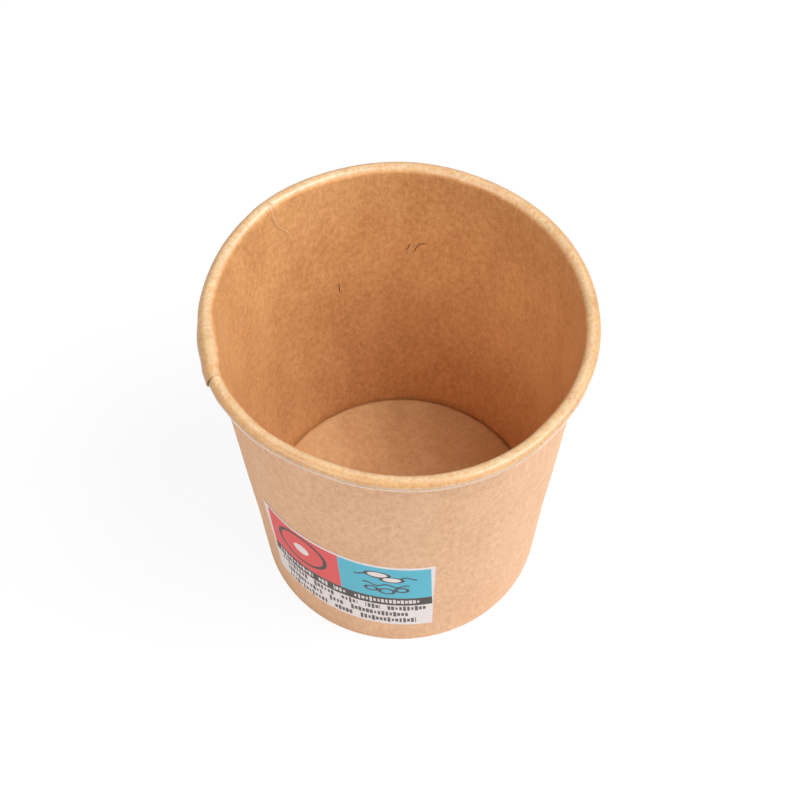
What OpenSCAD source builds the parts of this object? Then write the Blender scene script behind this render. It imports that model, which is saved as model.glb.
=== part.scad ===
// Small single-wall kraft paper cup: a rolled and lapped wall with a curled rim and a hemmed foot, a flanged
// bottom disc held in the hem, and a paper label on the outside. The origin is the middle of the foot, on the
// surface that the cup stands on, and the cup opens upwards.

/* [Cup] */
// Outside diameter of the curled rim
rim_d = 62; // [56:0.5:72]
// Height from the foot to the top of the rim
cup_h = 62; // [50:0.5:90]
// Outside diameter of the foot
foot_d = 49; // [42:0.2:52]
// Thickness of the paperboard
board = 0.35; // [0.25:0.01:0.5]

/* [Rim curl] */
// Diameter of the curl's outer turn
curl_d = 2.35; // [2:0.05:3.2]
// Air between one turn of the curl and the next
curl_gap = 0.05; // [0.02:0.01:0.1]

/* [Side seam] */
// Direction of the outer flap's edge about the axis
lap_angle = 190; // [0:1:359]
// Angle over which the two flaps lie on each other
lap_span = 12; // [8:1:16]
// Width of the gap at the outer flap's cut edge
edge_gap = 0.2; // [0.1:0.05:0.4]

/* [Bottom] */
// Height of the bottom disc's upper face above the foot
bottom_z = 3.4; // [3.2:0.1:9]
// Outside radius of the disc's turned-down edge
bend_r = 1.1; // [0.5:0.05:1.2]
// Glue film between the disc's skirt and the board on either side of it
glue = 0.02; // [0.01:0.005:0.04]
// Air between the hem's upper edge and the underside of the disc
hem_gap = 0.8; // [0.2:0.05:1]
// Radius of the hem's outside corners at the foot
hem_r = 0.25; // [0.1:0.05:0.4]

/* [Label] */
// Width of the label, measured round the wall at its middle
label_w = 30.3; // [20:0.1:34]
// Height of the label, measured up the wall
label_h = 22.9; // [12:0.1:26]
// Thickness of the label
label_t = 0.1; // [0.06:0.01:0.2]
// Direction of the label's middle about the axis
label_angle = -111.5; // [-180:0.1:180]
// Height of the label's middle above the foot
label_z = 19.6; // [16:0.1:34]
// Slant of the label's upper and lower edges; its sides run straight up the wall
label_slant = -6.2; // [-8:0.1:8]

/* [Hidden] */

$fn = 120;
paper_colour = [0.80, 0.60, 0.40];
inside_colour = [0.76, 0.54, 0.33];
label_colour = [0.93, 0.89, 0.88];

// The curl's outer turn: its middle, and the radius of the side that the wall runs into
curl_r = curl_d / 2;
curl_x = rim_d / 2 - curl_r;
curl_z = cup_h - curl_r;
curl_in = curl_r - board;
// Each half turn of the curl is tighter than the last by this much
curl_step = (board + curl_gap) / 2;

// Lean of the wall, whose outer face runs from the foot to meet the curl without a kink
foot_r = foot_d / 2;
wall_dx = curl_x - foot_r;
wall_lean = atan2(wall_dx, curl_z) - asin(curl_in / norm([wall_dx, curl_z]));
// Width of one layer of board, and of one glue film, measured level across the leaning wall
layer = board / cos(wall_lean);
film = glue / cos(wall_lean);

// The foot, from outside to inside: wall, glue, disc's skirt, glue, hem
hem_depth = layer + film + layer + film;
foot_web = board;
hem_steps = 4;
hem_top = bottom_z - board - hem_gap;
// The inner flap leaves the wall this far above the bottom disc, and comes to its full inset over this rise
flap_clear = 0.4;
flap_low = bottom_z + flap_clear;
flap_rise = 4;
// Depth of the gap at the outer flap's edge, which stops short of the sheet's inner face
edge_depth = 0.7 * board;

// The bottom disc's turned-down edge, whose skirt ends this far above the board that turns in at the foot
bend_z = bottom_z - bend_r;
bend_x = face_x(layer + film, bend_z) - bend_r / cos(wall_lean);
bend_steps = 12;
skirt_clear = 0.05;
skirt_low = foot_web + skirt_clear;

// Level distance from the axis to a face that lies this deep behind the wall's outer face
function face_x(depth, z) = foot_r + tan(wall_lean) * z - depth;
// Point at this distance from the curl's middle, on the line where the wall runs into the curl
function curl_seat(r) = [curl_x - r * cos(wall_lean), curl_z + r * sin(wall_lean)];

// A band round its own middle, from one angle of a turn to another
module arc_band(inner, thick, from, to) {
    reach = 2 * (inner + thick);
    steps = 6;
    intersection() {
        difference() {
            circle(r = inner + thick);
            circle(r = inner);
        }
        polygon(concat([[0, 0]], [for (i = [0 : steps])
            let (a = from + (to - from) * i / steps) reach * [cos(a), sin(a)]]));
    }
}

// The curl in section: half turns of the board, each tighter than the last
module curl_section() {
    translate([curl_x, curl_z]) arc_band(curl_in, board, 0, 180 - wall_lean);
    translate([curl_x + curl_step, curl_z]) arc_band(curl_in - curl_step, board, -180, 0);
    translate([curl_x, curl_z]) arc_band(curl_in - 2 * curl_step, board, 0, 180);
}

// Points round a corner of the hem, from one direction to another
function hem_corner(x, from, to) = [for (i = [0 : hem_steps])
    let (a = from + (to - from) * i / hem_steps) [x + hem_r * cos(a), hem_r + hem_r * sin(a)]];

// The wall in section. At the foot the board turns in under the disc's skirt and stands up behind it.
module wall_section() {
    polygon(concat(
        [
            curl_seat(curl_in),
            curl_seat(curl_in + board),
            [face_x(layer, foot_web), foot_web],
            [face_x(hem_depth, foot_web), foot_web],
            [face_x(hem_depth, hem_top), hem_top],
            [face_x(hem_depth + layer, hem_top), hem_top],
        ],
        hem_corner(face_x(hem_depth + layer, hem_r) + hem_r, 180, 270),
        hem_corner(face_x(0, hem_r) - hem_r, 270, 360)
    ));
}

// The inner flap in section, bonded into the outer one: it leaves the wall just above the bottom disc, stands
// in by one layer, and wraps over the curl
module flap_section() {
    bond = board / 2;
    polygon([
        [face_x(layer - bond, flap_low), flap_low],
        curl_seat(curl_in + board - bond),
        curl_seat(curl_in + 2 * board),
        [face_x(2 * layer, flap_low + flap_rise), flap_low + flap_rise],
        [face_x(layer - bond / 2, flap_low), flap_low],
    ]);
    translate([curl_x, curl_z])
        arc_band(curl_in + board - bond, board + bond, -90, 180 - wall_lean);
}

// The cut edge of the outer flap, open down the outside from under the curl to the foot
module flap_edge() {
    rotate([0, 0, lap_angle])
        translate([foot_r, 0, 0])
            rotate([0, wall_lean, 0])
                translate([-edge_depth, -edge_gap / 2, flap_low])
                    cube([edge_depth + curl_d, edge_gap, curl_z - curl_d - flap_low]);
}

module cup_wall() {
    color(paper_colour) difference() {
        union() {
            rotate_extrude() {
                wall_section();
                curl_section();
            }
            rotate([0, 0, lap_angle])
                rotate_extrude(angle = lap_span)
                    flap_section();
        }
        flap_edge();
    }
}

// Points round the disc's bend at this radius, from one direction to another
function disc_bend(r, from, to) = [for (i = [0 : bend_steps])
    let (a = from + (to - from) * i / bend_steps) [bend_x + r * cos(a), bend_z + r * sin(a)]];

module bottom_disc() {
    color(inside_colour) rotate_extrude() polygon(concat(
        [[0, bottom_z - board]],
        disc_bend(bend_r - board, 90, -wall_lean),
        [
            [face_x(2 * layer + film, skirt_low), skirt_low],
            [face_x(layer + film, skirt_low), skirt_low],
        ],
        disc_bend(bend_r, -wall_lean, 90),
        [[0, bottom_z]]
    ));
}

// A thin shell outside the wall and its own film of glue: its sides run up the wall, and a slanted slab trims its
// upper and lower edges
module label() {
    middle_r = face_x(0, label_z);
    span = label_w / middle_r * 180 / PI;
    low = label_z - label_h;
    high = label_z + label_h;
    thick = label_t / cos(wall_lean);
    color(label_colour) intersection() {
        rotate([0, 0, label_angle - span / 2])
            rotate_extrude(angle = span)
                polygon([
                    [face_x(-film, low), low],
                    [face_x(-film - thick, low), low],
                    [face_x(-film - thick, high), high],
                    [face_x(-film, high), high],
                ]);
        rotate([0, 0, label_angle])
            translate([middle_r, 0, label_z])
                rotate([0, wall_lean, 0])
                    rotate([label_slant, 0, 0])
                        translate([-middle_r, -2 * middle_r, -label_h / 2])
                            cube([2 * middle_r, 4 * middle_r, label_h]);
    }
}

cup_wall();
bottom_disc();
label();
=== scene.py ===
import math
import bpy
import numpy as np
from mathutils import Matrix, Vector
from mathutils.bvhtree import BVHTree


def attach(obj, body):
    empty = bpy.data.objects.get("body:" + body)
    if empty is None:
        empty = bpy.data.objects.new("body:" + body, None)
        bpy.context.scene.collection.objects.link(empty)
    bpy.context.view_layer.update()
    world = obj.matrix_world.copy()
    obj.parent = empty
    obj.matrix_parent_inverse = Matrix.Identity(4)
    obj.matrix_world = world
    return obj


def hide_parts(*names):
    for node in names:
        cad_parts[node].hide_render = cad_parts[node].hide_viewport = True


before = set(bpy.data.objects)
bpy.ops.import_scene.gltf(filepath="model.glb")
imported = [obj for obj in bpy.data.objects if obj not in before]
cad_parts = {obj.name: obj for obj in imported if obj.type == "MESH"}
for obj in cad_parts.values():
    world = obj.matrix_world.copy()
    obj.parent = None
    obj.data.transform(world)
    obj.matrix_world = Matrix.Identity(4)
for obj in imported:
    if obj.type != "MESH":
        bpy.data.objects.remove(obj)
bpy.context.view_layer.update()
print("frame loaded:", sorted(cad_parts))

mm = 0.001
scene = bpy.context.scene

cup = dict(  # the CAD model's sizes, in millimetres and degrees
    rimDiameter=62.0,
    height=62.0,
    footDiameter=49.0,
    board=0.35,
    curlDiameter=2.35,
    curlGap=0.05,
    seamAngle=190.0,
    overlap=12.0,
    bottomHeight=3.4,
    glue=0.02,
    hemGap=0.8,
)
curlR = cup["curlDiameter"] / 2
curlX = cup["rimDiameter"] / 2 - curlR
curlZ = cup["height"] - curlR
footR = cup["footDiameter"] / 2
lean = math.atan2(curlX - footR, curlZ) - math.asin((curlR - cup["board"]) / math.hypot(curlX - footR, curlZ))
layer = cup["board"] / math.cos(lean)
film = cup["glue"] / math.cos(lean)


def wallX(depth, z):
    return footR + math.tan(lean) * z - depth  # level distance from the axis, this deep behind the outer face


def addNode(tree, kind, inputs=None, **settings):
    node = tree.nodes.new(kind)
    for key, value in settings.items():
        setattr(node, key, value)
    for key, value in (inputs or {}).items():
        if isinstance(value, bpy.types.NodeSocket):
            tree.links.new(value, node.inputs[key])
        else:
            node.inputs[key].default_value = value
    return node


def calc(tree, operation, *values):
    return addNode(tree, "ShaderNodeMath", dict(enumerate(values)), operation=operation).outputs[0]


def remap(tree, value, fromMin, fromMax, toMin=0.0, toMax=1.0, kind="SMOOTHSTEP"):
    inputs = {"Value": value, "From Min": fromMin, "From Max": fromMax, "To Min": toMin, "To Max": toMax}
    return addNode(tree, "ShaderNodeMapRange", inputs, interpolation_type=kind).outputs[0]


def combine(tree, x, y, z):
    return addNode(tree, "ShaderNodeCombineXYZ", {0: x, 1: y, 2: z}).outputs[0]


def split(tree, vector):
    return addNode(tree, "ShaderNodeSeparateXYZ", {0: vector}).outputs


def vector(tree, operation, *values, **more):
    inputs = {**dict(enumerate(values)), **{key.capitalize(): value for key, value in more.items()}}
    node = addNode(tree, "ShaderNodeVectorMath", inputs, operation=operation)
    return node.outputs["Value" if operation in ("LENGTH", "DISTANCE", "DOT_PRODUCT") else "Vector"]


def seenDirectly(tree):  # 1 for rays from the camera, from mirrors and through glass
    path = addNode(tree, "ShaderNodeLightPath").outputs
    return calc(tree, "MAXIMUM", path["Is Camera Ray"],
                calc(tree, "MAXIMUM", path["Is Glossy Ray"], path["Is Transmission Ray"]))


def newMaterial(name):
    material = bpy.data.materials.new(name)
    material.use_nodes = True
    material.node_tree.nodes.clear()
    return material, material.node_tree


def finishMaterial(tree, surface, color=None, roughness=None, normal=None):
    shader = addNode(tree, "ShaderNodeBsdfPrincipled", surface)
    for socket, value in (("Base Color", color), ("Roughness", roughness), ("Normal", normal)):
        if value is not None:
            tree.links.new(value, shader.inputs[socket])
    output = addNode(tree, "ShaderNodeOutputMaterial")
    tree.links.new(shader.outputs[0], output.inputs[0])
    return shader


def mixColor(tree, factor, a, b, blend="MIX"):
    node = addNode(tree, "ShaderNodeMix", data_type="RGBA", blend_type=blend)
    for index, value in ((0, factor), (6, a), (7, b)):
        if isinstance(value, bpy.types.NodeSocket):
            tree.links.new(value, node.inputs[index])
        else:
            node.inputs[index].default_value = value if index == 0 else (*value[:3], 1.0)
    return node.outputs[2]


wallLook = dict(
    turnStep=1.25,
    fine=((290.0, 300.0, 0.36), (486.0, 495.5, 0.42)),
    lapLead=12.0,
    lapStart=3.8,
    lapRise=4.0,
    unevenness=0.07,
    waist=((17.0, 9.0, -0.14), (48.0, 6.0, 0.08)),
    footOval=0.12,
    bendR=0.2,
    curlSteps=(20, 14, 8),
    flapMore=1.4,
    seamPress=0.12,
    flapSink=0.5,
)
# Creases of the flat blank: (turn in degrees, distance along in millimetres) points, then depth towards the inner
# face, half width to the right and half width to the left
creases = (
    (((493.4, 64.4), (493.4, 62.8), (493.1, 61.2)), 0.16, 0.35, 0.30),
    (((493.1, 61.2), (491.9, 59.6), (490.4, 58.4), (488.2, 56.7)), 0.13, 0.25, 0.30),
    (((493.0, 65.1), (492.5, 64.7), (491.9, 64.1)), -0.16, 0.55, 0.05),
    (((292.5, 64.9), (293.3, 67.6)), -0.07, 0.15, 0.15),
    (((296.0, 64.8), (297.4, 67.4)), -0.07, 0.15, 0.15),
)
# points of the crease's whitened line, which also carry the painted shade on both sides of it
creaseWhiteningAndShade = ((493.4, 64.1), (493.4, 62.8), (493.1, 61.2), (491.9, 59.6), (490.4, 58.4), (488.4, 56.9))


hemPoints, bendSteps = 5, 6
wallFrom = hemPoints + 2 * (bendSteps + 1)  # the first point of the section on the wall itself
sheetR = 27.5  # a turn on the blank is this radius times its angle


def arcPoints(x, z, radius, start, end, steps):
    angles = np.radians(np.linspace(start, end, steps + 1))
    return [(x + radius * math.cos(a), z + radius * math.sin(a)) for a in angles]


def wallSection():
    board, bend, tilt = cup["board"], wallLook["bendR"], math.degrees(lean)
    hemDepth = 2 * (layer + film)
    hemTop = cup["bottomHeight"] - board - cup["hemGap"]
    cornerZ = board / 2 + bend
    hem = [(wallX(hemDepth + layer / 2, z), z) for z in np.linspace(hemTop, cornerZ + 0.1, hemPoints)]
    innerX = wallX(hemDepth + layer / 2, cornerZ) + bend / math.cos(lean)
    outerX = wallX(layer / 2, cornerZ) - bend / math.cos(lean)
    innerBend = arcPoints(innerX, cornerZ, bend, 180 - tilt, 270, bendSteps)
    outerBend = arcPoints(outerX, cornerZ, bend, 270, 360 - tilt, bendSteps)
    heights = np.concatenate([np.linspace(cornerZ + 0.2, 50, 31), np.linspace(50.8, curlZ - 0.6, 16)])
    sway = sum(depth * np.exp(-((heights - z) / spread) ** 2) for z, spread, depth in wallLook["waist"])
    wall = [(wallX(layer / 2, z) + x, z) for x, z in zip(sway, heights)]
    step = (board + cup["curlGap"]) / 2
    mid = curlR - board / 2
    first, second, third = wallLook["curlSteps"]
    curl = arcPoints(curlX, curlZ, mid, 180 - tilt, 0, first)
    curl += arcPoints(curlX + step, curlZ, mid - step, 0, -180, second)[1:]
    curl += arcPoints(curlX, curlZ, mid - 2 * step, 180, 0, third)[1:]
    points = np.array(hem + innerBend + outerBend + wall + curl)
    curlStart = len(points) - len(curl)
    return points, curlStart


section, curlStart = wallSection()
alongWall = np.concatenate([[0], np.cumsum(np.hypot(*np.diff(section, axis=0).T))])
alongCurl = float(alongWall[curlStart])
print("wall section: curl starts", round(alongCurl, 2), "mm along")

kraft = dict(
    outside=dict(base=(0.652, 0.374, 0.211), roughness=0.72, specular=0.35, clouds=0.035, mottle=0.12, grit=0.10,
                 streak=0.0, fibre=0.05, shift=(0.65, 1.1, 1.25), bump=0.3, seed=3.0, pull=0.55),
    inside=dict(base=(0.668, 0.34, 0.135), roughness=0.42, specular=0.5, clouds=0.07, mottle=0.14, grit=0.11,
                streak=0.06, fibre=0.11, shift=(0.75, 1.15, 1.5), bump=0.4, seed=17.0, coat=0.45, pull=0.75,
                bead=True),
    # the cut edge is given a darker brown than either face
    edge=dict(base=(0.42, 0.24, 0.10), roughness=0.8, specular=0.3, clouds=0.0, mottle=0.1, grit=0.1,
              streak=0.0, fibre=0.0, shift=(1.0, 1.1, 1.2), bump=0.3, seed=31.0, pull=1.0),
    disc=dict(base=(0.635, 0.365, 0.165), roughness=0.5, specular=0.45, clouds=0.07, mottle=0.09, grit=0.08,
              streak=0.0, fibre=0.08, shift=(0.75, 1.15, 1.5), bump=0.35, seed=47.0, coat=0.2, pull=1.0),
)
# bead colours: the pale top is painted light, the golden lower half painted shade, the pale-grey low band and the pale
# edge line painted reflection of the white floor, and the dark gap colour painted shade under the flap's lip; the
# orange patches and the whitened crease are the board's own colour
beadLook = dict(top=(0.62, 0.40, 0.21), shadedGold=(0.53, 0.288, 0.112), low=(0.585, 0.38, 0.235), patch=(0.59, 0.30, 0.11),
                edge=(0.84, 0.66, 0.56), crease=(0.80, 0.54, 0.30), gap=(0.05, 0.02, 0.015))


def kraftMaterial(name, look, coords="UV"):
    material, tree = newMaterial(name)
    source = addNode(tree, "ShaderNodeTexCoord").outputs[coords]
    scaled = vector(tree, "SCALE", source, scale=1.0 if coords == "UV" else 1 / mm)
    u, v, w = split(tree, scaled)
    at = combine(tree, u, v, calc(tree, "ADD", w, look["seed"]))  # millimetres

    def noise(scale, detail=2.0, rough=0.55, place=at, distort=0.0):
        inputs = {"Vector": place, "Scale": scale, "Detail": detail, "Roughness": rough, "Distortion": distort}
        return addNode(tree, "ShaderNodeTexNoise", inputs).outputs["Fac"]

    def stretch(place, x, y):
        return vector(tree, "MULTIPLY", place, (x, y, 1.0))

    def fibres(turn, along, across, cut):
        rotated = addNode(tree, "ShaderNodeVectorRotate", {"Vector": at, "Angle": turn}, rotation_type="Z_AXIS")
        return remap(tree, noise(1.0, 1.0, 0.4, stretch(rotated.outputs[0], across, along), 0.8), cut, cut + 0.10)

    pulled = stretch(at, 1.0, look["pull"])  # the grain runs up the wall
    mottle = remap(tree, noise(1.0, 3.0, 0.6, pulled), 0.3, 0.7, -1.0, 1.0, "LINEAR")
    grit = remap(tree, noise(3.4, 2.0, 0.6, pulled), 0.28, 0.72, -1.0, 1.0, "LINEAR")
    streak = remap(tree, noise(1.0, 2.0, 0.55, stretch(at, 2.6, 0.6), 0.3), 0.3, 0.7, -1.0, 1.0, "LINEAR")
    clouds = remap(tree, noise(0.17, 2.0, 0.55, stretch(at, 1.0, 0.45)), 0.3, 0.7, -1.0, 1.0)
    if look.get("bead"):
        onBead = remap(tree, v, alongCurl + 0.3, alongCurl + 1.0)
        offBead = calc(tree, "SUBTRACT", 1.0, onBead)
        alongRim = remap(tree, noise(2.3, 3.0, 0.7, stretch(at, 0.85, 0.95)), 0.3, 0.7, -1.0, 1.0, "LINEAR")
        mottle = calc(tree, "MULTIPLY_ADD", calc(tree, "SUBTRACT", alongRim, mottle), onBead, mottle)
        grit, streak = calc(tree, "MULTIPLY", grit, offBead), calc(tree, "MULTIPLY", streak, offBead)
    pale = calc(tree, "MAXIMUM", fibres(0.35, 0.42, 4.6, 0.60), fibres(-0.9, 0.5, 5.2, 0.62))
    dark = calc(tree, "MAXIMUM", fibres(1.25, 0.45, 5.0, 0.63), fibres(-0.25, 0.38, 4.2, 0.62))

    tone = 1.0
    for value, share in ((clouds, look["clouds"]), (mottle, look["mottle"]), (grit, look["grit"]),
                         (streak, look["streak"]), (pale, look["fibre"]), (dark, -look["fibre"])):
        if share:
            tone = calc(tree, "MULTIPLY_ADD", value, share, tone)
    shade = combine(tree, *[calc(tree, "POWER", tone, power) for power in look["shift"]])
    color = mixColor(tree, 1.0, look["base"], shade, "MULTIPLY")

    relief = calc(tree, "MULTIPLY_ADD", grit, 0.5, calc(tree, "MULTIPLY", pale, 0.5))
    relief = calc(tree, "MULTIPLY_ADD", mottle, 0.8, relief)
    if look.get("bead"):  # the rolled board is paler, partly as painted light, and shows more of its fibre; across the bead its colour is painted in bands: a pale top as painted light, a golden lower half as painted shade, a pale-grey band and a pale lower edge line as painted reflection of the white floor, and a brown line above that edge as painted shade
        # painted shade: the bead's lower half turns golden, while its pale top stands for painted light
        shadedGold = remap(tree, v, alongCurl + 1.5, alongCurl + 2.0)
        # painted reflection and bounced light of the white floor: a pale-grey band low on the bead
        low = remap(tree, v, alongCurl + 2.45, alongCurl + 2.8)
        front = calc(tree, "SINE", calc(tree, "DIVIDE", u, sheetR))
        # painted reflection of the white floor: a pale line along the bead's lower edge, set lower at the front
        edgeFrom = remap(tree, front, -0.92, -0.45, alongCurl + 3.0, alongCurl + 2.7)
        pastEdge = calc(tree, "SUBTRACT", v, edgeFrom)
        edgeReflection = remap(tree, pastEdge, 0.55, 1.0, 1.0, 0.0)
        edgeReflection = calc(tree, "MULTIPLY", remap(tree, pastEdge, 0.0, 0.3), edgeReflection)
        # painted shade: a brown line just above the pale edge line
        shadeLine = remap(tree, calc(tree, "ABSOLUTE", calc(tree, "ADD", pastEdge, 0.1)), 0.0, 0.3, 0.16, 0.0)
        patch = calc(tree, "MULTIPLY", remap(tree, noise(1.1, 2.0, 0.5), 0.46, 0.64), 0.6)
        patch = calc(tree, "MULTIPLY", patch, calc(tree, "SUBTRACT", 1.0, low))
        rolled = mixColor(tree, low, mixColor(tree, shadedGold, beadLook["top"], beadLook["shadedGold"]), beadLook["low"])
        rolled = mixColor(tree, patch, rolled, beadLook["patch"])
        rolled = mixColor(tree, shadeLine, rolled, (0.36, 0.19, 0.085))
        rolled = mixColor(tree, calc(tree, "MULTIPLY", edgeReflection, 0.85), rolled, beadLook["edge"])
        color = mixColor(tree, onBead, color, mixColor(tree, 1.0, rolled, shade, "MULTIPLY"))
        seamEdge = math.radians(cup["seamAngle"] + cup["overlap"] + wallLook["flapMore"]) * sheetR
        opening = remap(tree, v, alongCurl + 1.3, alongCurl + 2.7)
        past = calc(tree, "SUBTRACT", calc(tree, "SUBTRACT", u, seamEdge), calc(tree, "MULTIPLY", opening, 0.32))
        gap = calc(tree, "MULTIPLY", remap(tree, past, 0.0, 0.16, 1.0, 0.0), opening)
        color = mixColor(tree, calc(tree, "MULTIPLY", gap, 0.95), color, beadLook["gap"])  # shade under the flap's lip
        crease, creaseShade = 0.0, 0.0
        wander = calc(tree, "MULTIPLY", calc(tree, "SUBTRACT", noise(1.6, 1.0), 0.5), 0.5)
        near = combine(tree, calc(tree, "ADD", u, wander), v, 0.0)
        for start, end in zip(creaseWhiteningAndShade[:-1], creaseWhiteningAndShade[1:]):
            start, end = (np.array((math.radians(turn) * sheetR, along)) for turn, along in (start, end))
            step = end - start
            offset = vector(tree, "SUBTRACT", near, (*start, 0.0))
            dot = vector(tree, "DOT_PRODUCT", offset, (*(step / (step @ step)), 0.0))
            share = addNode(tree, "ShaderNodeClamp", {"Value": dot}).outputs[0]
            distance = vector(tree, "DISTANCE", offset, vector(tree, "SCALE", (*step, 0.0), scale=share))
            crease = calc(tree, "MAXIMUM", crease, remap(tree, distance, 0.02, 0.15, 1.0, 0.0))
            creaseShade = calc(tree, "MAXIMUM", creaseShade, remap(tree, distance, 0.1, 0.55, 1.0, 0.0))
        # painted shade on both sides of the crease; the pale whitened line is the board's own colour
        color = mixColor(tree, calc(tree, "MULTIPLY", creaseShade, 0.3), color, (0.36, 0.16, 0.06))
        color = mixColor(tree, calc(tree, "MULTIPLY", crease, 0.8), color, beadLook["crease"])

    cells = addNode(tree, "ShaderNodeTexVoronoi", {"Vector": at, "Scale": 0.3})
    spot = remap(tree, cells.outputs["Distance"], 0.03, 0.055, 1.0, 0.0)
    chosen = remap(tree, split(tree, cells.outputs["Color"])[0], 0.86, 0.9)
    speck = tuple(c * 0.35 for c in look["base"])
    color = mixColor(tree, calc(tree, "MULTIPLY", calc(tree, "MULTIPLY", spot, chosen), 0.5), color, speck)

    bumped = {"Height": relief, "Strength": look["bump"], "Distance": 0.03 * mm}
    bump = addNode(tree, "ShaderNodeBump", bumped).outputs[0]
    rough = remap(tree, mottle, -1.0, 1.0, look["roughness"] - 0.05, look["roughness"] + 0.05, "LINEAR")
    surface = {"Specular IOR Level": look["specular"], "Coat Weight": look.get("coat", 0.0), "Coat Roughness": 0.22}
    shader = finishMaterial(tree, surface, color, rough, bump)
    if look.get("coat"):
        tree.links.new(bump, shader.inputs["Coat Normal"])
    return material


outsideBoard = kraftMaterial("kraft outside", kraft["outside"])
insideBoard = kraftMaterial("kraft inside", kraft["inside"])
cutEdge = kraftMaterial("kraft cut edge", kraft["edge"])
discBoard = kraftMaterial("kraft disc", kraft["disc"], "Object")
print("board materials made")


def pressedBy(turn, along):
    x = math.radians(turn) * sheetR
    total = 0.0
    for points, depth, right, left in creases:
        best, side = 99.0, 1.0
        for (t0, a0), (t1, a1) in zip(points[:-1], points[1:]):
            start = np.array((math.radians(t0) * sheetR, a0))
            step = np.array((math.radians(t1) * sheetR, a1)) - start
            offset = np.array((x, along)) - start
            share = min(max(offset @ step / (step @ step), 0.0), 1.0)
            distance = float(np.hypot(*(offset - share * step)))
            if distance < best:
                best, side = distance, step[0] * offset[1] - step[1] * offset[0]
        total += depth * math.exp(-best / (right if side < 0 else left))
    return total * mm


def wallBlank():
    heading = np.gradient(section, alongWall, axis=0)
    heading /= np.hypot(heading[:, 0], heading[:, 1])[:, None]
    side = np.stack([-heading[:, 1], heading[:, 0]], axis=1)  # towards the sheet's inner face
    rise = np.clip((section[:, 1] - wallLook["lapStart"]) / wallLook["lapRise"], 0, 1)
    lap = rise * rise * (3 - 2 * rise)
    lap[:wallFrom] = 0
    curlTurn = np.arange(len(section)) - curlStart
    fade = np.clip((curlTurn - 26) / 6.0, 0, 1)
    lap = np.where(curlTurn > 26, 1 - fade * fade * (3 - 2 * fade), lap)
    rim = np.clip(section[:, 1] / cup["height"], 0, 1) ** 1.5
    rim[curlStart:] = 1.0
    press = np.clip((curlTurn - 7) / 16.0, 0, 1)
    start, end = cup["seamAngle"], cup["seamAngle"] + 360 + cup["overlap"] + wallLook["flapMore"]
    (fromA, toA, stepA), (fromB, toB, stepB) = wallLook["fine"]
    turns = np.concatenate([
        np.arange(start, fromA, wallLook["turnStep"]),
        np.arange(fromA, toA, stepA),
        np.arange(toA, fromB, wallLook["turnStep"]),
        np.arange(fromB, toB, stepB),
        np.linspace(toB, start + 360, 44),
        np.linspace(start + 360, end, 15)[1:],
    ])
    rows, columns = len(section), len(turns)
    vertices = [(math.radians(t), s * mm, 0) for t in turns for s in alongWall]
    lapRow = int(np.argmax((section[:, 1] > wallLook["lapStart"]) & (np.arange(rows) >= wallFrom)))
    endRow = curlStart + 25
    faces = []
    for i in range(columns - 1):
        flap = turns[i] >= start + 360 - 1e-6
        for j in range(rows - 1):
            if flap and (j < lapRow or j >= endRow):
                continue  # the inner flap's corners are cut away
            a = i * rows + j
            faces.append((a, a + rows, a + rows + 1, a + 1))
    mesh = bpy.data.meshes.new("cupWall")
    mesh.from_pydata(vertices, [], faces)
    for name, values, scale in (("section", section, mm), ("side", side, 1.0)):
        full = np.zeros((columns, rows, 3), np.float32)
        full[:, :, 0], full[:, :, 2] = values[:, 0] * scale, values[:, 1] * scale
        mesh.attributes.new(name, "FLOAT_VECTOR", "POINT").data.foreach_set("vector", full.ravel())
    for name, values in (("lapShare", lap), ("rimShare", rim), ("pressShare", press)):
        full = np.tile(values, columns).astype(np.float32)
        mesh.attributes.new(name, "FLOAT", "POINT").data.foreach_set("value", full)
    near = [(284, 304), (484, 498)]
    dents = [pressedBy(t, s) if any(a < t < b for a, b in near) and s > 50 else 0.0 for t in turns for s in alongWall]
    mesh.attributes.new("dent", "FLOAT", "POINT").data.foreach_set("value", np.array(dents, np.float32))
    print("blank:", columns, "x", rows, "curl starts at row", curlStart)
    return mesh


rimSway = (  # how far the rim stands out from a true circle, in millimetres, round the cup from +X
    (0, -0.292), (15, -0.364), (30, -0.428), (45, -0.434), (60, -0.377), (75, -0.117), (90, 0.075), (105, 0.089),
    (120, 0.215), (130, 0.299), (140, 0.097), (150, -0.137), (160, -0.316), (168, -0.419), (176, -0.419), (184, -0.662),
    (192, -0.683), (200, -0.260), (208, -0.152), (216, -0.275), (225, -0.272), (240, -0.553), (255, -0.292), (270, 0.164),
    (285, 0.547), (300, 0.692), (315, 0.410), (330, 0.222), (345, 0.003),
)


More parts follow.
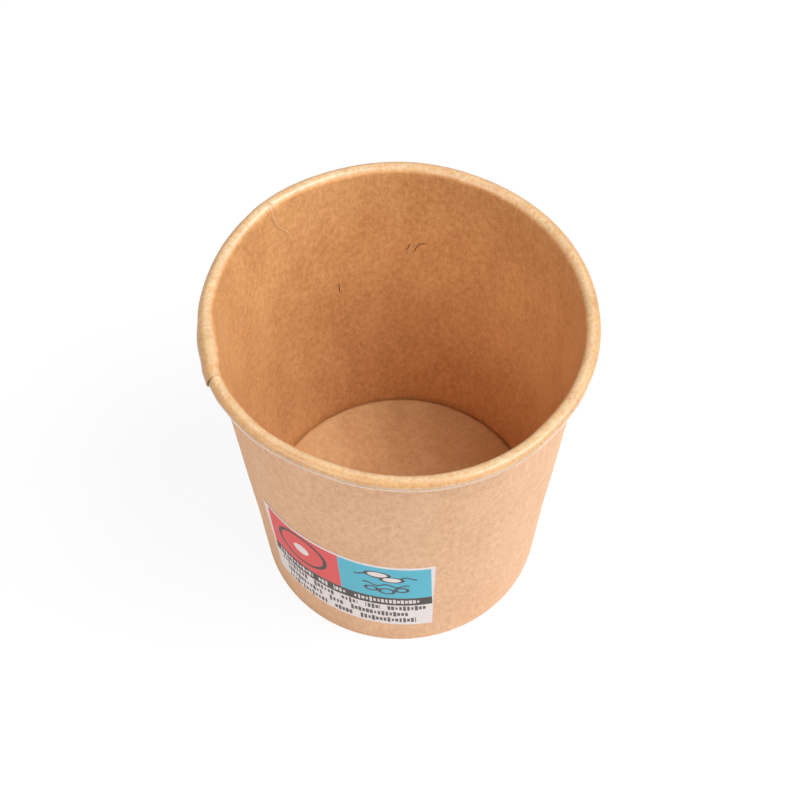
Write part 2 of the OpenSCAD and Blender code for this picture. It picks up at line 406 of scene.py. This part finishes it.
def rollTree():
    tree = bpy.data.node_groups.new("rollBlank", "GeometryNodeTree")
    tree.interface.new_socket(name="Geometry", in_out="INPUT", socket_type="NodeSocketGeometry")
    for name in ("Board", "Lap Start", "Lap End", "Flap End", "Flap Sink", "Seam Press", "Dents", "Unevenness",
                 "Rim Sway", "Foot Oval"):
        tree.interface.new_socket(name=name, in_out="INPUT", socket_type="NodeSocketFloat")
    tree.interface.new_socket(name="Geometry", in_out="OUTPUT", socket_type="NodeSocketGeometry")
    given = addNode(tree, "NodeGroupInput").outputs
    flat = split(tree, addNode(tree, "GeometryNodeInputPosition").outputs[0])
    turn, along = flat[0], flat[1]

    def attribute(name, kind):
        return addNode(tree, "GeometryNodeInputNamedAttribute", {"Name": name}, data_type=kind).outputs[0]

    section = split(tree, attribute("section", "FLOAT_VECTOR"))
    side = split(tree, attribute("side", "FLOAT_VECTOR"))
    lapShare, rimShare = attribute("lapShare", "FLOAT"), attribute("rimShare", "FLOAT")
    pressShare, dent = attribute("pressShare", "FLOAT"), attribute("dent", "FLOAT")
    cosTurn, sinTurn = calc(tree, "COSINE", turn), calc(tree, "SINE", turn)

    lap = remap(tree, turn, given["Lap Start"], given["Lap End"])
    sink = calc(tree, "MULTIPLY", given["Flap Sink"], calc(tree, "MULTIPLY_ADD", pressShare, -1.0, 1.7))
    sunk = remap(tree, turn, given["Lap End"], given["Flap End"], 1.0, calc(tree, "SUBTRACT", 1.0, sink))
    lap = calc(tree, "MULTIPLY", calc(tree, "MULTIPLY", lap, sunk), lapShare)
    inset = calc(tree, "MULTIPLY_ADD", lap, given["Board"], calc(tree, "MULTIPLY", dent, given["Dents"]))
    under = calc(tree, "SUBTRACT", turn, calc(tree, "SUBTRACT", given["Flap End"], math.tau))
    under = remap(tree, under, 0.0, math.radians(7), 1.0, 0.0)  # the outer flap is pressed in under the inner one
    under = calc(tree, "MULTIPLY", calc(tree, "MULTIPLY", under, pressShare), given["Seam Press"])
    inset = calc(tree, "SUBTRACT", inset, under)

    around = calc(tree, "FRACT", calc(tree, "DIVIDE", turn, math.tau))
    curve = addNode(tree, "ShaderNodeFloatCurve", {"Value": around})
    points = [(a / 360, 0.5 + d / 2) for a, d in rimSway] + [(1.0, 0.5 + rimSway[0][1] / 2)]
    line = curve.mapping.curves[0]
    while len(line.points) < len(points):
        line.points.new(0.5, 0.5)
    for point, (x, y) in zip(line.points, points):
        point.location = (x, y)
    curve.mapping.update()
    sway = calc(tree, "MULTIPLY", calc(tree, "SUBTRACT", curve.outputs[0], 0.5), given["Rim Sway"])
    sway = calc(tree, "MULTIPLY", sway, rimShare)
    footShare = calc(tree, "POWER", calc(tree, "SUBTRACT", 1.0, rimShare), 4.0)
    oval = calc(tree, "COSINE", calc(tree, "MULTIPLY", turn, 2.0))
    oval = calc(tree, "MULTIPLY", oval, calc(tree, "MULTIPLY", footShare, given["Foot Oval"]))
    sway = calc(tree, "SUBTRACT", sway, oval)

    cylinder = combine(tree, calc(tree, "MULTIPLY", cosTurn, 0.03), calc(tree, "MULTIPLY", sinTurn, 0.03), along)
    wavy = {"Vector": cylinder, "Scale": 95.0, "Detail": 2.0, "Roughness": 0.45}
    noise = addNode(tree, "ShaderNodeTexNoise", wavy).outputs["Fac"]
    uneven = calc(tree, "MULTIPLY", calc(tree, "SUBTRACT", noise, 0.5), given["Unevenness"])
    uneven = calc(tree, "MULTIPLY", uneven, rimShare)
    shift = calc(tree, "ADD", inset, uneven)

    radius = calc(tree, "ADD", calc(tree, "MULTIPLY_ADD", side[0], shift, section[0]), sway)
    height = calc(tree, "MULTIPLY_ADD", side[2], shift, section[2])
    rolled = combine(tree, calc(tree, "MULTIPLY", radius, cosTurn), calc(tree, "MULTIPLY", radius, sinTurn), height)

    unrolled = combine(tree, calc(tree, "MULTIPLY", turn, sheetR), calc(tree, "MULTIPLY", along, 1 / mm), 0.0)
    stored = {"Geometry": given["Geometry"], "Name": "UVMap", "Value": unrolled}
    store = addNode(tree, "GeometryNodeStoreNamedAttribute", stored, data_type="FLOAT2", domain="CORNER")
    placed = addNode(tree, "GeometryNodeSetPosition", {"Geometry": store.outputs[0], "Position": rolled})
    smooth = addNode(tree, "GeometryNodeSetShadeSmooth", {0: placed.outputs[0]})
    real = addNode(tree, "GeometryNodeRealizeInstances", {0: smooth.outputs[0]})
    painted = addNode(tree, "GeometryNodeSetMaterial", {0: real.outputs[0], "Material": outsideBoard})
    output = addNode(tree, "NodeGroupOutput")
    tree.links.new(painted.outputs[0], output.inputs[0])
    return tree


def withNodes(piece, tree, values):
    modifier = piece.modifiers.new(tree.name, "NODES")
    modifier.node_group = tree
    for item in tree.interface.items_tree:
        if item.item_type == "SOCKET" and item.in_out == "INPUT" and item.name in values:
            modifier[item.identifier] = values[item.name]


def bake(piece):
    graph = bpy.context.evaluated_depsgraph_get()
    result = piece.evaluated_get(graph)
    mesh = bpy.data.meshes.new_from_object(result, preserve_all_data_layers=True, depsgraph=graph)
    piece.modifiers.clear()
    piece.data = mesh
    return piece


def addPiece(name, mesh):
    piece = bpy.data.objects.new(name, mesh)
    scene.collection.objects.link(piece)
    return piece


cupWall = addPiece("cupWall", wallBlank())
seamEnd = cup["seamAngle"] + 360
withNodes(cupWall, rollTree(), {
    "Board": cup["board"] * mm * 1.06,
    "Lap Start": math.radians(seamEnd - wallLook["lapLead"]),
    "Lap End": math.radians(seamEnd),
    "Flap End": math.radians(seamEnd + cup["overlap"] + wallLook["flapMore"]),
    "Flap Sink": wallLook["flapSink"],
    "Seam Press": wallLook["seamPress"] * mm,
    "Dents": 1.0,
    "Unevenness": wallLook["unevenness"] * mm * 2,
    "Rim Sway": 2 * mm,
    "Foot Oval": wallLook["footOval"] * mm,
})
bake(cupWall)
for material in (insideBoard, cutEdge):
    cupWall.data.materials.append(material)
solid = cupWall.modifiers.new("board", "SOLIDIFY")
solid.thickness = cup["board"] * mm
solid.offset = 0
solid.use_even_offset = True
solid.use_quality_normals = True
solid.material_offset = 1
solid.material_offset_rim = 2
bake(cupWall)
for name in ("section", "side", "lapShare", "rimShare", "pressShare", "dent"):
    if name in cupWall.data.attributes:
        cupWall.data.attributes.remove(cupWall.data.attributes[name])
cupWall.data.set_sharp_from_angle(angle=math.radians(42))
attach(cupWall, "root")
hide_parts("cup_wall")
print("cup wall rolled:", len(cupWall.data.polygons), "faces")

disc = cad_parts["bottom_disc"]
disc.data.materials.clear()
disc.data.materials.append(discBoard)

labelLook = dict(
    width=30.3, height=22.9, thick=0.1, angle=-111.6, middle=19.4, slant=-6.2,
    paper=(0.70, 0.615, 0.585), red=(0.66, 0.072, 0.068), blue=(0.075, 0.40, 0.51), ink=(0.055, 0.045, 0.04),
    fields=(-14.6, -0.42, 14.8, 10.88), split=-1.0, band=-3.95, tilt=0.037,
    lines=(  # row middle, row half height, and the starts and ends of its bars
        (-2.5, 0.75, ((-13.6, -6.0), (-4.9, -3.1), (-2.0, 0.3), (1.6, 12.6))),
        (-5.2, 0.85, ((-13.4, -7.6), (-6.3, -2.2), (-1.0, 2.1), (3.4, 5.9), (7.2, 13.6))),
        (-7.6, 0.85, ((-12.2, -4.4), (-3.2, -0.4), (0.8, 10.6))),
        (-10.0, 0.85, ((-11.9, -3.6), (-2.3, 1.1), (2.2, 11.8))),
    ),
    ring=(-7.6, 5.35, 4.6, 0.36), dot=(-7.6, 5.35, 1.5),
    waves=(2.2, 12.5, 7.4, 0.24),
    pebbles=((6.1, 8.1, 1.95), (8.4, 6.6, 1.8)),
    rings=((4.9, 2.4, 1.0), (7.4, 1.9, 1.2), (9.9, 2.7, 1.0)),
)
wallTree = BVHTree.FromPolygons([v.co for v in cupWall.data.vertices], [p.vertices for p in cupWall.data.polygons])


def labelPoint(a, b, lift):
    slant = math.radians(labelLook["slant"])
    middleR = wallX(-film, labelLook["middle"])
    reach = middleR / math.sin(lean)  # slant distance from the cone's tip
    spread = a / middleR * math.sin(lean)
    distance = (b + reach * math.cos(slant)) / math.cos(spread + slant)
    turn = math.radians(labelLook["angle"]) + a / middleR
    z = labelLook["middle"] + (distance - reach) * math.cos(lean)
    out = Vector((math.cos(turn) * math.cos(lean), math.sin(turn) * math.cos(lean), -math.sin(lean)))
    radius = wallX(0, z)
    near = Vector((radius * math.cos(turn), radius * math.sin(turn), z)) * mm + out * 3 * mm
    hit = wallTree.ray_cast(near, -out)[0]
    return hit + out * lift * mm, (a * distance / reach, b)


def labelMesh(columns=72, rows=48):
    us = np.linspace(-labelLook["width"] / 2, labelLook["width"] / 2, columns + 1)
    vs = np.linspace(-labelLook["height"] / 2, labelLook["height"] / 2, rows + 1)
    mesh = bpy.data.meshes.new("labelSheet")
    laid = [labelPoint(a, b, cup["glue"] + labelLook["thick"] / 2) for a in us for b in vs]
    faces = []
    for i in range(columns):
        for j in range(rows):
            k = i * (rows + 1) + j
            faces.append((k, k + rows + 1, k + rows + 2, k + 1))
    mesh.from_pydata([point for point, flat in laid], [], faces)
    layerUv = mesh.uv_layers.new(name="UVMap")
    for loop in mesh.loops:
        layerUv.data[loop.index].uv = laid[loop.vertex_index][1]
    return mesh


def labelMaterial():
    material, tree = newMaterial("label print")
    u, v, w = split(tree, addNode(tree, "ShaderNodeTexCoord").outputs["UV"])
    low = calc(tree, "MULTIPLY_ADD", u, -labelLook["tilt"], v)  # the lower lines of print climb a little
    soft = 0.07

    def above(value, limit):
        return remap(tree, value, limit - soft, limit + soft)

    def below(value, limit):
        return remap(tree, value, limit - soft, limit + soft, 1.0, 0.0)

    def both(*masks):
        result = masks[0]
        for mask in masks[1:]:
            result = calc(tree, "MULTIPLY", result, mask)
        return result

    def far(x, y, squash=1.0):
        rise = calc(tree, "MULTIPLY", calc(tree, "SUBTRACT", v, y), squash)
        return vector(tree, "LENGTH", combine(tree, calc(tree, "SUBTRACT", u, x), rise, 0.0))

    def stroke(distance, radius, half):
        return below(calc(tree, "ABSOLUTE", calc(tree, "SUBTRACT", distance, radius)), half)

    left, middle, right, top = labelLook["fields"]
    upper = both(above(low, labelLook["split"]), below(v, top))
    color = mixColor(tree, both(upper, above(u, left), below(u, middle)), labelLook["paper"], labelLook["red"])
    color = mixColor(tree, both(upper, above(u, middle), below(u, right)), color, labelLook["blue"])
    band = both(above(low, labelLook["band"]), below(low, labelLook["split"]), above(u, left), below(u, right))
    color = mixColor(tree, band, color, labelLook["ink"])

    for index, (middleRow, half, bars) in enumerate(labelLook["lines"]):
        ramp = addNode(tree, "ShaderNodeValToRGB", {"Fac": remap(tree, u, -16.0, 16.0, 0.0, 1.0, "LINEAR")})
        ramp.color_ramp.interpolation = "CONSTANT"
        stops = [(0.0, 0.0)] + [((edge + 16) / 32, value) for bar in bars for edge, value in zip(bar, (1.0, 0.0))]
        while len(ramp.color_ramp.elements) < len(stops):
            ramp.color_ramp.elements.new(0.999)
        for element, (place, value) in zip(ramp.color_ramp.elements, stops):
            element.position = place
            element.color = (value, value, value, 1.0)
        place = calc(tree, "DIVIDE", calc(tree, "ADD", u, 40.0 + 3.7 * index), 0.66)
        whole = calc(tree, "FLOOR", place)
        chance = addNode(tree, "ShaderNodeTexWhiteNoise", {"W": whole}, noise_dimensions="1D").outputs
        width = remap(tree, chance[0], 0.0, 1.0, 0.24, 0.42, "LINEAR")
        height = remap(tree, split(tree, chance[1])[1], 0.0, 1.0, half * 0.55, half * 1.25, "LINEAR")
        off = calc(tree, "ABSOLUTE", calc(tree, "SUBTRACT", calc(tree, "FRACT", place), 0.5))
        tick = remap(tree, calc(tree, "SUBTRACT", off, width), -0.06, 0.06, 1.0, 0.0)  # plain upright marks
        row = calc(tree, "SUBTRACT", calc(tree, "ABSOLUTE", calc(tree, "SUBTRACT", low, middleRow)), height)
        row = remap(tree, row, -soft, soft, 1.0, 0.0)
        printed = labelLook["paper"] if index == 0 else labelLook["ink"]
        color = mixColor(tree, both(row, tick, ramp.outputs[0], 0.95), color, printed)

    x, y, radius, half = labelLook["ring"]
    color = mixColor(tree, stroke(far(x, y), radius, half), color, labelLook["ink"])
    x, y, radius = labelLook["dot"]
    color = mixColor(tree, below(far(x, y), radius), color, labelLook["paper"])

    start, end, level, half = labelLook["waves"]
    swell = calc(tree, "MULTIPLY", calc(tree, "SINE", calc(tree, "MULTIPLY", u, 1.9)), 0.42)
    for drop in (0.0, 3.2):
        line = calc(tree, "ABSOLUTE", calc(tree, "SUBTRACT", calc(tree, "SUBTRACT", v, level - drop), swell))
        inside = both(below(line, half), above(u, start + drop * 0.4), below(u, end - drop * 0.4))
        color = mixColor(tree, inside, color, labelLook["ink"])
    for x, y, radius in labelLook["pebbles"]:
        color = mixColor(tree, below(far(x, y, 1.9), radius), color, labelLook["paper"])
        color = mixColor(tree, stroke(far(x, y, 1.9), radius, 0.3), color, labelLook["ink"])
    for x, y, radius in labelLook["rings"]:
        color = mixColor(tree, stroke(far(x, y, 1.25), radius, 0.26), color, labelLook["ink"])

    at = combine(tree, u, v, 5.0)
    grain = addNode(tree, "ShaderNodeTexNoise", {"Vector": at, "Scale": 2.6, "Detail": 3.0}).outputs["Fac"]
    tone = remap(tree, grain, 0.3, 0.7, 0.93, 1.07, "LINEAR")
    color = mixColor(tree, 1.0, color, combine(tree, tone, tone, tone), "MULTIPLY")
    bump = addNode(tree, "ShaderNodeBump", {"Height": grain, "Strength": 0.2, "Distance": 0.02 * mm}).outputs[0]
    finishMaterial(tree, {"Roughness": 0.6, "Specular IOR Level": 0.4}, color, None, bump)
    return material


labelSheet = addPiece("labelSheet", labelMesh())
labelSheet.data.materials.append(labelMaterial())
sheetSolid = labelSheet.modifiers.new("paper", "SOLIDIFY")
sheetSolid.thickness = labelLook["thick"] * mm
sheetSolid.offset = 0
bake(labelSheet)
labelSheet.data.set_sharp_from_angle(angle=math.radians(42))
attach(labelSheet, "root")
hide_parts("label")
print("label laid on the wall")

hairLook = dict(
    radius=0.07,
    color=(0.10, 0.035, 0.02),
    paths=(  # turn about the axis and height, in degrees and millimetres, of points on the inner face
        ((111.95, 37.3), (112.15, 36.5), (112.15, 35.7), (111.95, 35.0)),
        ((83.95, 43.0), (83.2, 44.1), (82.1, 44.85), (80.9, 45.1), (80.1, 45.15)),
        ((87.1, 43.2), (86.1, 43.9), (85.4, 44.9)),
    ),
)


def hairMesh(sides=5):
    points, faces = [], []
    for path in hairLook["paths"]:
        knots = np.array(path)
        marks = np.linspace(0, len(knots) - 1, 3 * len(knots))
        turns, heights = (np.interp(marks, range(len(knots)), knots[:, k]) for k in (0, 1))
        line = []
        for turn, z in zip(np.radians(turns), heights):
            out = Vector((math.cos(turn), math.sin(turn), 0))
            start = Vector((0, 0, z * mm)) + out * 10 * mm
            hit = wallTree.ray_cast(start, out)[0]
            line.append(hit - out * hairLook["radius"] * 0.6 * mm)
        for i, spot in enumerate(line):
            ahead = (line[min(i + 1, len(line) - 1)] - line[max(i - 1, 0)]).normalized()
            inward = Vector((-spot.x, -spot.y, 0)).normalized()
            across = ahead.cross(inward).normalized()
            radius = hairLook["radius"] * mm * (0.35 if i in (0, len(line) - 1) else 1.0)
            for k in range(sides):
                angle = math.tau * k / sides
                points.append(spot + radius * (math.cos(angle) * inward + math.sin(angle) * across))
        base = len(points) - len(line) * sides
        for i in range(len(line) - 1):
            for k in range(sides):
                a, b = base + i * sides + k, base + i * sides + (k + 1) % sides
                faces.append((a, a + sides, b + sides, b))
        faces.append(tuple(base + k for k in range(sides)))
        faces.append(tuple(base + (len(line) - 1) * sides + k for k in reversed(range(sides))))
    mesh = bpy.data.meshes.new("strayHairs")
    mesh.from_pydata(points, [], faces)
    return mesh


strayHairs = addPiece("strayHairs", hairMesh())
hairMaterial, hairTree = newMaterial("stray hair")
finishMaterial(hairTree, {"Base Color": (*hairLook["color"], 1.0), "Roughness": 0.6})
strayHairs.data.materials.append(hairMaterial)
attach(strayHairs, "root")
print("stray hairs laid on the inner face")

studio = dict(
    floorSize=4.0,
    whiteShare=0.9,
    worldStrength=0.27,
    lampSize=0.5,
    lampDistance=0.9,
    lamps=(  # name, direction round the cup from +X, height above the floor's horizon, power, colour
        ("rightLamp", 0, 35, 3.3, (0.97, 1.05, 1.13)),
        ("highLamp", -20, 62, 6.3, (0.99, 1.02, 1.04)),
        ("leftFrontLamp", -135, 40, 2.7, (1.03, 1.0, 0.98)),
        ("rightFrontLamp", -45, 40, 1.2, (0.97, 1.05, 1.13)),
    ),
)


def studioFloor():
    mesh = bpy.data.meshes.new("studioFloor")
    half = studio["floorSize"] / 2
    mesh.from_pydata([(-half, -half, 0), (half, -half, 0), (half, half, 0), (-half, half, 0)], [], [(0, 1, 2, 3)])
    floor = addPiece("studioFloor", mesh)
    material, tree = newMaterial("studio floor")
    diffuse = addNode(tree, "ShaderNodeBsdfDiffuse", {"Color": (0.9, 0.9, 0.9, 1)})
    glow = addNode(tree, "ShaderNodeEmission", {"Color": (1, 1, 1, 1), "Strength": 1.0})
    share = calc(tree, "MULTIPLY", seenDirectly(tree), studio["whiteShare"])
    mix = addNode(tree, "ShaderNodeMixShader", {0: share, 1: diffuse.outputs[0], 2: glow.outputs[0]})
    output = addNode(tree, "ShaderNodeOutputMaterial")
    tree.links.new(mix.outputs[0], output.inputs[0])
    mesh.materials.append(material)


def studioWorld():
    world = bpy.data.worlds.new("studio")
    scene.world = world
    world.use_nodes = True
    tree = world.node_tree
    tree.nodes.clear()
    strength = remap(tree, seenDirectly(tree), 0.0, 1.0, studio["worldStrength"], 1.0, "LINEAR")
    back = addNode(tree, "ShaderNodeBackground", {"Color": (1, 1, 1, 1), "Strength": strength})
    output = addNode(tree, "ShaderNodeOutputWorld")
    tree.links.new(back.outputs[0], output.inputs[0])


def softLamp(name, around, rise, power, color):
    lamp = bpy.data.lights.new(name, "AREA")
    lamp.shape = "DISK"
    lamp.size = studio["lampSize"]
    lamp.energy = power
    lamp.color = color
    piece = bpy.data.objects.new(name, lamp)
    scene.collection.objects.link(piece)
    around, rise = math.radians(around), math.radians(rise)
    out = Vector((math.cos(around) * math.cos(rise), math.sin(around) * math.cos(rise), math.sin(rise)))
    piece.location = Vector((0, 0, 0.03)) + out * studio["lampDistance"]
    piece.rotation_mode = "QUATERNION"
    piece.rotation_quaternion = out.to_track_quat("Z", "Y")


studioFloor()
studioWorld()
for lampValues in studio["lamps"]:
    softLamp(*lampValues)

view = dict(focal=1632.0, frameWidth=800, elevation=55.66, distance=267.14, aimX=0.153, aimZ=38.011, roll=-0.719)
camera = bpy.data.objects.new("camera", bpy.data.cameras.new("camera"))
scene.collection.objects.link(camera)
camera.data.sensor_width = 36.0
camera.data.lens = view["focal"] * 36.0 / view["frameWidth"]
tilt, roll = math.radians(view["elevation"]), math.radians(view["roll"])
back = Vector((0, -math.cos(tilt), math.sin(tilt)))
rightLevel, upLevel = Vector((1, 0, 0)), Vector((0, math.sin(tilt), math.cos(tilt)))
right = math.cos(roll) * rightLevel + math.sin(roll) * upLevel
up = -math.sin(roll) * rightLevel + math.cos(roll) * upLevel
camera.rotation_mode = "QUATERNION"
camera.rotation_quaternion = Matrix((right, up, back)).transposed().to_quaternion()
camera.location = (Vector((view["aimX"], 0, view["aimZ"])) + back * view["distance"]) * mm
camera.data.clip_start, camera.data.clip_end = 0.01, 20
scene.camera = camera
scene.view_settings.view_transform = "Standard"
print("studio and camera set")
